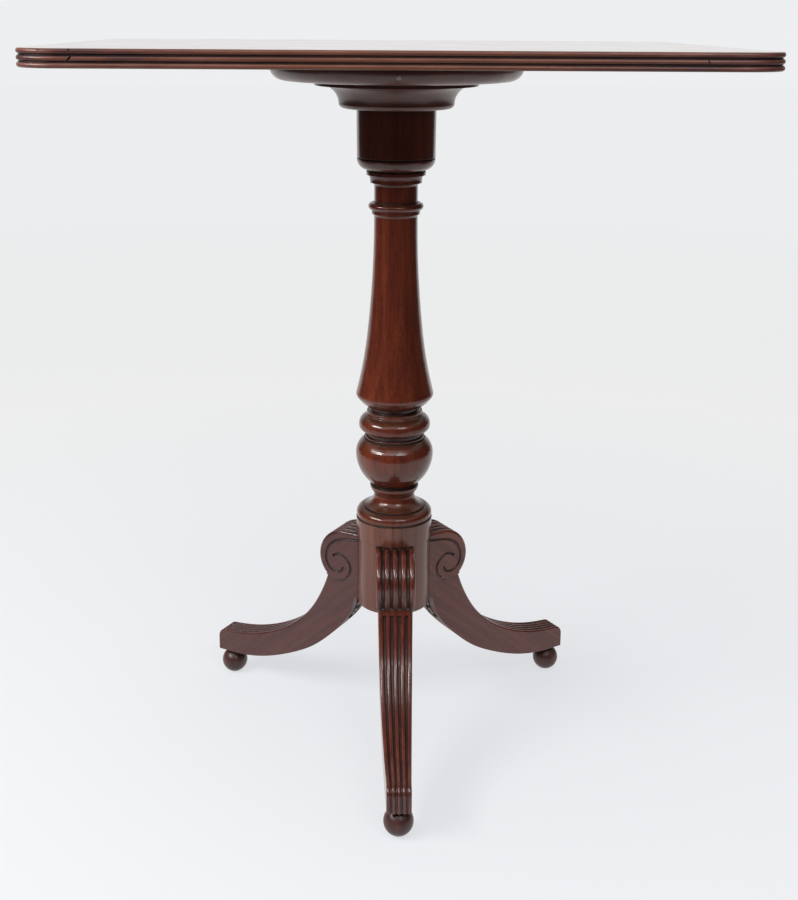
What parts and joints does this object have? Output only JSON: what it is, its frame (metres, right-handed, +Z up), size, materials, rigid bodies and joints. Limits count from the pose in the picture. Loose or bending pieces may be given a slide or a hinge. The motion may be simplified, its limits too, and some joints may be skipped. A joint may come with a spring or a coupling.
{
  "type": "occasional table",
  "caption": "Fixed-top tripod occasional table: rectangular top with a reeded edge on a turned column and reeded sabre legs with ball feet.",
  "frame": {"origin": "on the floor, on the column's axis, which is also the centre of the table top in plan", "axes": "+Z up, -Y towards the front leg and the front edge of the top, +X along the top's long side"},
  "size_m": [0.628, 0.48, 0.72],
  "materials": {
    "top_wood": "french-polished mahogany",
    "boss_wood": "french-polished mahogany",
    "column_wood": "french-polished mahogany",
    "leg_wood": "french-polished mahogany",
    "foot_wood": "french-polished mahogany",
    "wedge_wood": "bare oak",
    "strap_iron": "blackened iron",
    "screw_steel": "dull steel"
  },
  "bodies": {
    "root": {"table_top": "top_wood", "boss_plate": "boss_wood", "boss_block": "boss_wood", "column": "column_wood", "tenon_wedge": "wedge_wood", "leg_front": "leg_wood", "leg_right": "leg_wood", "leg_left": "leg_wood", "foot_front": "foot_wood", "foot_right": "foot_wood", "foot_left": "foot_wood", "leg_strap": "strap_iron", "boss_screws": "screw_steel", "block_screws": "screw_steel", "strap_screws": "screw_steel"}
  },
  "joints": []
}
